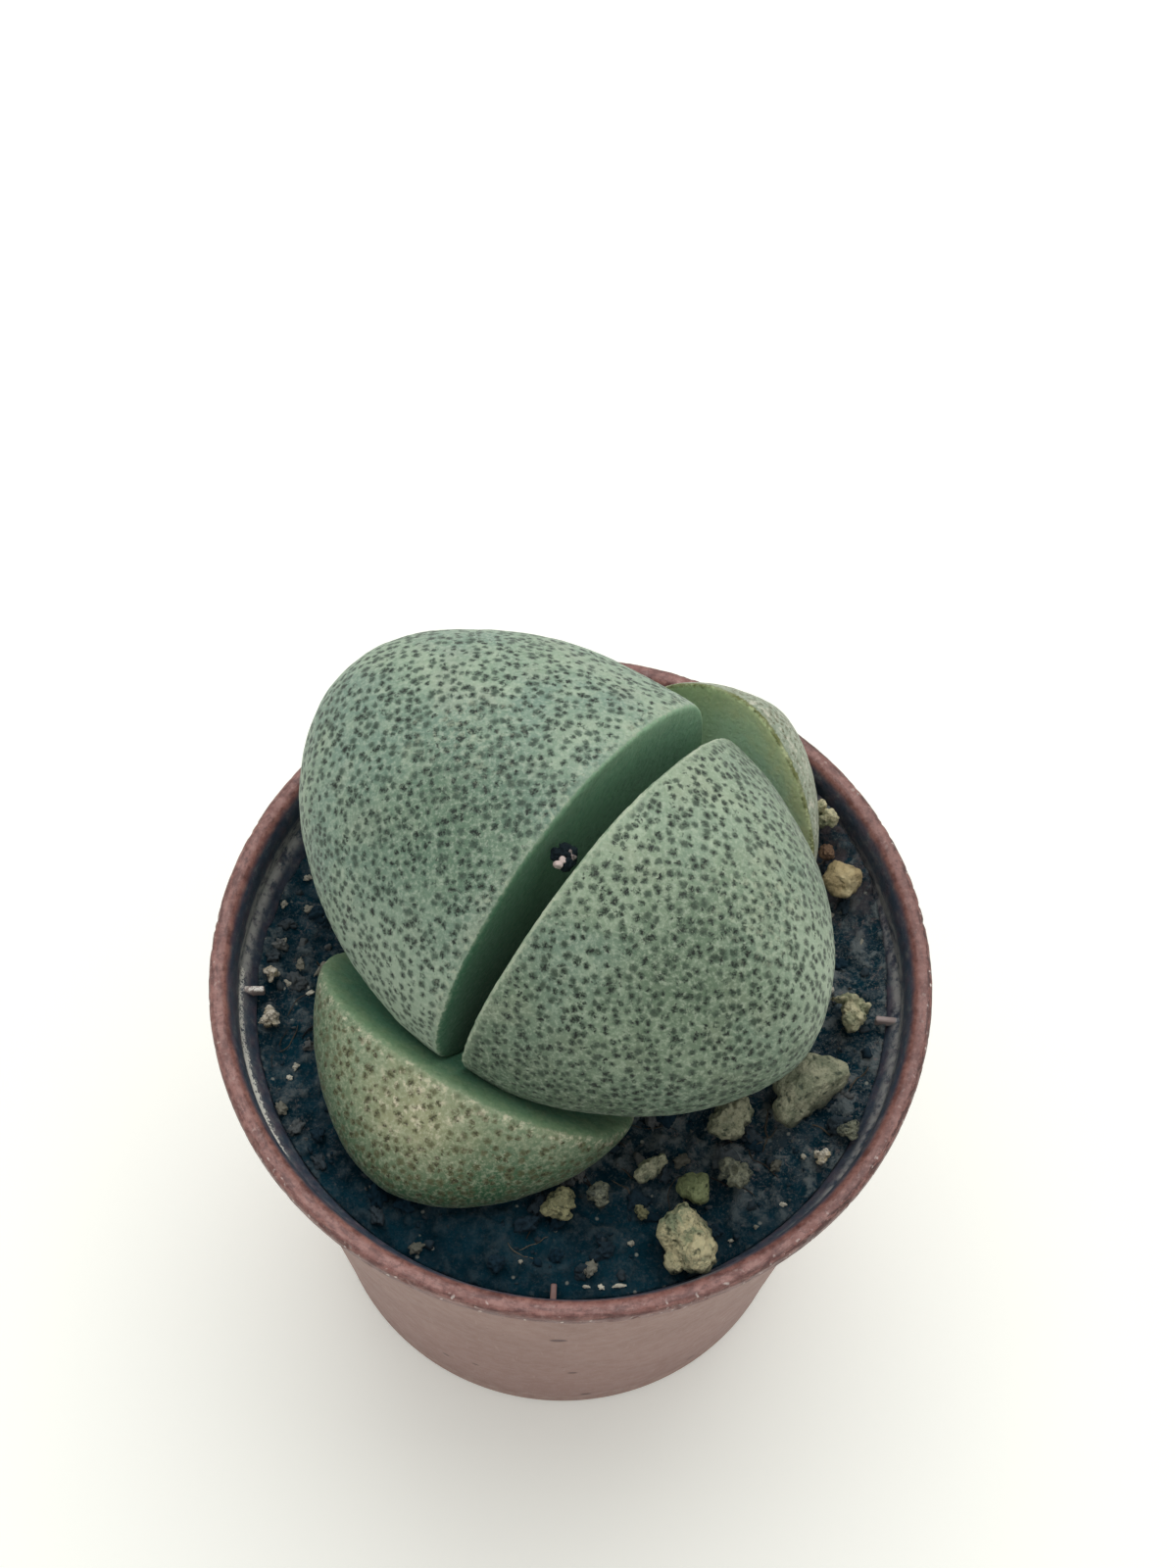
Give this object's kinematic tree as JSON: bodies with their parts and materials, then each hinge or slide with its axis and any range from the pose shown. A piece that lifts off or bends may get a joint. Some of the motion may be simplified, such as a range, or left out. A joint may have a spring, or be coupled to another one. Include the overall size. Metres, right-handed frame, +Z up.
{
  "type": "potted succulent",
  "caption": "Split rock succulent with two pairs of thick cleft leaves, planted in peat and grit in a small round brown plastic nursery pot.",
  "frame": {"origin": "centre of the pot's underside, on the surface that it stands on", "axes": "+Z up, out of the pot's mouth; -Y towards the side that the picture is taken from; +X to its right"},
  "size_m": [0.055, 0.055, 0.0687],
  "materials": {
    "pot_plastic": "thin moulded reddish brown plastic, semi-matte, scuffed at the lip",
    "peat": "dark damp peat, matte",
    "crown_skin": "dry woody plant skin, matte",
    "leaf_skin": "firm waxy grey-green plant skin with fine dark dots, soft sheen",
    "leaf_skin_old": "older yellow-green plant skin with fine dark dots, soft sheen",
    "pumice": "porous pale stone, matte",
    "perlite": "white expanded perlite, matte",
    "grit_brown": "rough brown stone, matte",
    "grit_tan": "smooth tan stone, matte",
    "grit_grey": "rough dark grey stone, matte",
    "grit_green": "rough greenish stone, matte"
  },
  "bodies": {
    "root": {"pot": "pot_plastic", "soil": "peat", "crown_and_taproot": "crown_skin", "leaf_upper_left": "leaf_skin", "leaf_upper_right": "leaf_skin", "leaf_lower_front": "leaf_skin_old", "leaf_lower_back": "leaf_skin_old", "crumb_in_cleft": "grit_grey", "pumice_front": "pumice", "grit_green": "grit_green", "grit_brown_large": "grit_brown", "grit_brown_under_leaf": "grit_brown", "grit_tan_rear": "grit_tan", "pumice_rear": "pumice", "grit_brown_rear": "grit_brown", "grit_rough_right": "pumice", "grit_front_left": "grit_tan", "grit_front_middle": "grit_grey", "grit_middle": "grit_brown", "grit_tan_small": "grit_tan", "grit_grey": "grit_grey", "perlite_right": "perlite", "grit_right_edge": "grit_brown", "perlite_left_rear": "perlite", "perlite_left_front": "perlite"}
  },
  "joints": []
}
